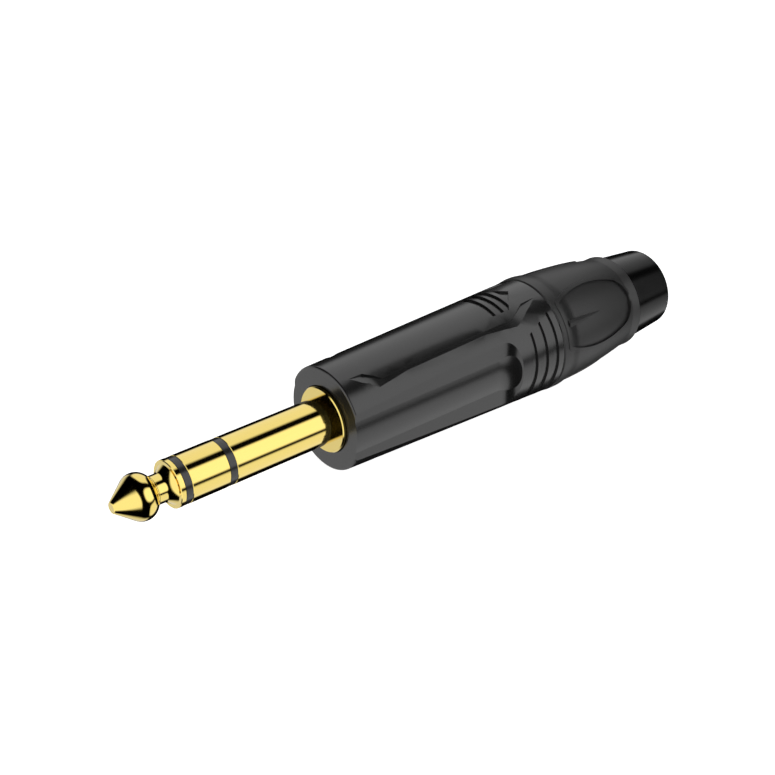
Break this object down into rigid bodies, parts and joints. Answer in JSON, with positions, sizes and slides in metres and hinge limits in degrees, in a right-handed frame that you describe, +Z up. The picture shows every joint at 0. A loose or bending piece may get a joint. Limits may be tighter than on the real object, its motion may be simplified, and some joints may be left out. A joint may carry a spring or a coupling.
{
  "type": "stereo jack plug",
  "caption": "Three-contact phone plug on a pocketed black die-cast shell, closed by a screw-on boot with finger pads round a slotted cable chuck.",
  "frame": {"origin": "on the plug's axis, in the flange face that seats on the socket", "axes": "+X along the axis from the nose to the cable end; +Z up, the way the bare panel faces"},
  "size_m": [0.093, 0.0168, 0.0167],
  "materials": {
    "gold_contact": "polished gold plate",
    "tinned_lug": "stamped, bright",
    "black_insulator": "satin",
    "brown_laminate": "matte",
    "pale_liner": "matte",
    "black_shell": "satin black coat on a zinc die casting",
    "grey_chuck": "matte",
    "black_nut": "glossy",
    "soft_grip": "soft, matte"
  },
  "bodies": {
    "plug": {"tip_contact": "gold_contact", "tip_insulator": "black_insulator", "ring_contact": "gold_contact", "ring_insulator": "black_insulator", "sleeve_contact": "gold_contact", "ground_lug": "tinned_lug", "ring_lug": "tinned_lug", "tip_lug": "tinned_lug", "inner_washer": "brown_laminate", "outer_washer": "brown_laminate", "liner": "pale_liner", "shell": "black_shell"},
    "chuck": {"chuck": "grey_chuck"},
    "boot": {"back_nut": "black_nut", "grip_boot": "soft_grip"}
  },
  "joints": [
    {"name": "chuck_slide", "type": "slide", "parent": "plug", "child": "chuck", "axis": [1, 0, 0], "range_m": [0, 0.00701]},
    {"name": "boot_turn", "type": "hinge", "parent": "chuck", "child": "boot", "pos_m": [0.045, 0, 0], "axis": [1, 0, 0], "range_deg": [0, 2520]}
  ],
  "couplings": [
    {"joint": "chuck_slide", "follows": "boot_turn", "m_per_rad": 0.00015915}
  ]
}
